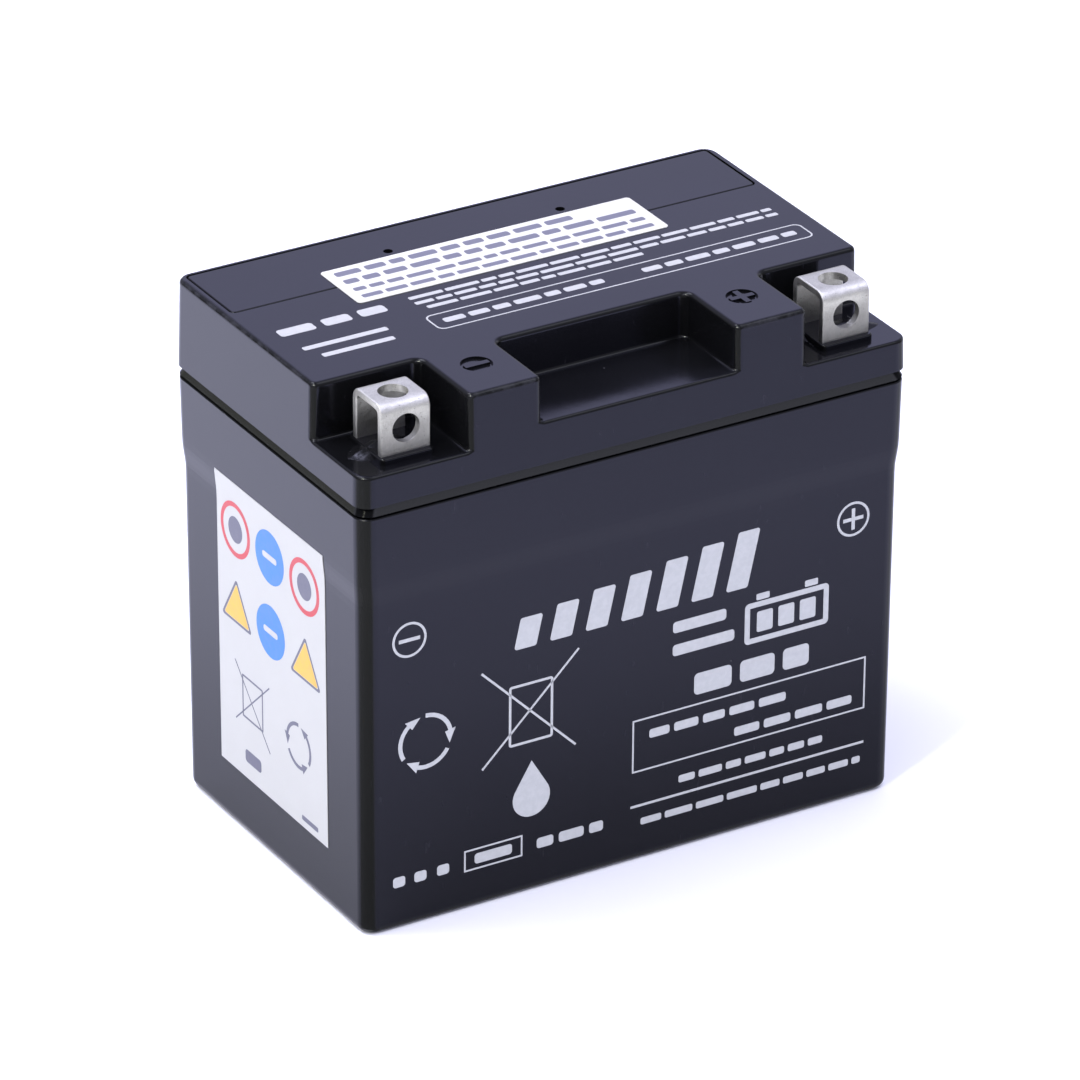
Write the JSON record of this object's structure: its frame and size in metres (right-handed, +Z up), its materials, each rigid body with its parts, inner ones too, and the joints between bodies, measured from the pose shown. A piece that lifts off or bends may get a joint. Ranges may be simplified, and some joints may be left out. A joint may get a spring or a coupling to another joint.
{
  "type": "motorcycle battery",
  "caption": "Sealed black motorcycle battery with a welded lid, open bracket terminals in corner pockets and a front handle recess.",
  "frame": {"origin": "centre of the bottom face", "axes": "+Z up, +X along the length towards the positive terminal, -Y out of the printed front face"},
  "size_m": [0.114, 0.0694, 0.1041],
  "materials": {
    "case_plastic": "semi-gloss moulded ABS, fine grain",
    "plated_terminal": "satin lead-tin plating",
    "lead": "dull cast lead",
    "positive_plate": "matte pasted oxide, dark brown",
    "negative_plate": "matte spongy lead, grey",
    "glass_mat": "felted glass fibre",
    "sealing_resin": "glossy cast resin",
    "valve_rubber": "matte moulded rubber",
    "porous_disc": "sintered porous disc",
    "label_paper": "coated label paper"
  },
  "bodies": {
    "case": {"container": "case_plastic", "lid": "case_plastic", "vent_cover": "case_plastic", "negative_terminal": "plated_terminal", "positive_terminal": "plated_terminal", "negative_post": "lead", "positive_post": "lead", "negative_post_resin": "sealing_resin", "positive_post_resin": "sealing_resin", "side_label": "label_paper", "top_label": "label_paper", "flame_arrestor_left": "porous_disc", "flame_arrestor_right": "porous_disc", "positive_plates_1": "positive_plate", "negative_plates_1": "negative_plate", "separators_1": "glass_mat", "positive_strap_1": "lead", "negative_strap_1": "lead", "cell_weld_1_2": "lead", "positive_plates_2": "positive_plate", "negative_plates_2": "negative_plate", "separators_2": "glass_mat", "positive_strap_2": "lead", "negative_strap_2": "lead", "cell_weld_2_3": "lead", "positive_plates_3": "positive_plate", "negative_plates_3": "negative_plate", "separators_3": "glass_mat", "positive_strap_3": "lead", "negative_strap_3": "lead", "cell_weld_3_4": "lead", "positive_plates_4": "positive_plate", "negative_plates_4": "negative_plate", "separators_4": "glass_mat", "positive_strap_4": "lead", "negative_strap_4": "lead", "cell_weld_4_5": "lead", "positive_plates_5": "positive_plate", "negative_plates_5": "negative_plate", "separators_5": "glass_mat", "positive_strap_5": "lead", "negative_strap_5": "lead", "cell_weld_5_6": "lead", "positive_plates_6": "positive_plate", "negative_plates_6": "negative_plate", "separators_6": "glass_mat", "positive_strap_6": "lead", "negative_strap_6": "lead"},
    "valve_1": {"safety_valve_1": "valve_rubber"},
    "valve_2": {"safety_valve_2": "valve_rubber"},
    "valve_3": {"safety_valve_3": "valve_rubber"},
    "valve_4": {"safety_valve_4": "valve_rubber"},
    "valve_5": {"safety_valve_5": "valve_rubber"},
    "valve_6": {"safety_valve_6": "valve_rubber"}
  },
  "joints": [
    {"name": "valve_1_lift", "type": "slide", "parent": "case", "child": "valve_1", "axis": [0, 0, 1], "range_m": [0, 0.0006], "stiffness_N_per_m": 400},
    {"name": "valve_2_lift", "type": "slide", "parent": "case", "child": "valve_2", "axis": [0, 0, 1], "range_m": [0, 0.0006], "stiffness_N_per_m": 400},
    {"name": "valve_3_lift", "type": "slide", "parent": "case", "child": "valve_3", "axis": [0, 0, 1], "range_m": [0, 0.0006], "stiffness_N_per_m": 400},
    {"name": "valve_4_lift", "type": "slide", "parent": "case", "child": "valve_4", "axis": [0, 0, 1], "range_m": [0, 0.0006], "stiffness_N_per_m": 400},
    {"name": "valve_5_lift", "type": "slide", "parent": "case", "child": "valve_5", "axis": [0, 0, 1], "range_m": [0, 0.0006], "stiffness_N_per_m": 400},
    {"name": "valve_6_lift", "type": "slide", "parent": "case", "child": "valve_6", "axis": [0, 0, 1], "range_m": [0, 0.0006], "stiffness_N_per_m": 400}
  ]
}
